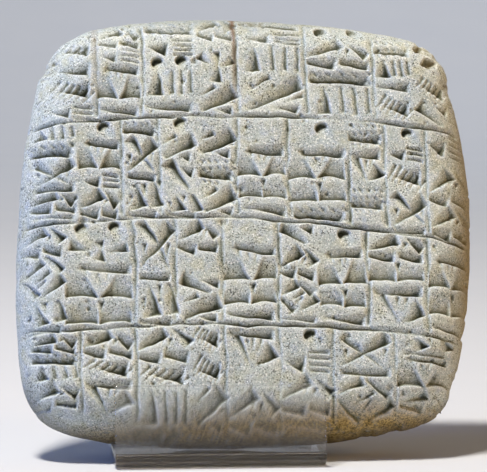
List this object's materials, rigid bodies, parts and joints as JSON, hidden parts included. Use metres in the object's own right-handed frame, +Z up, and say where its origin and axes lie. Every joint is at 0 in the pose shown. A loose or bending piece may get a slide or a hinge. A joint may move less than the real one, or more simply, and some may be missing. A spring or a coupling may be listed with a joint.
{
  "type": "cuneiform tablet on a display cradle",
  "caption": "Pillow-shaped clay tablet with rows of small wedge marks, leaning back in a bent clear acrylic cradle.",
  "frame": {"origin": "on the ground under the middle of the cradle's base", "axes": "+Z up, the inscribed face towards -Y, +X to the right of someone who reads it"},
  "size_m": [0.0854, 0.0546, 0.0807],
  "materials": {
    "clay": "dry, matt, speckled greenish grey clay",
    "acrylic": "clear, polished"
  },
  "bodies": {
    "root": {"tablet": "clay", "cradle": "acrylic"}
  },
  "joints": []
}
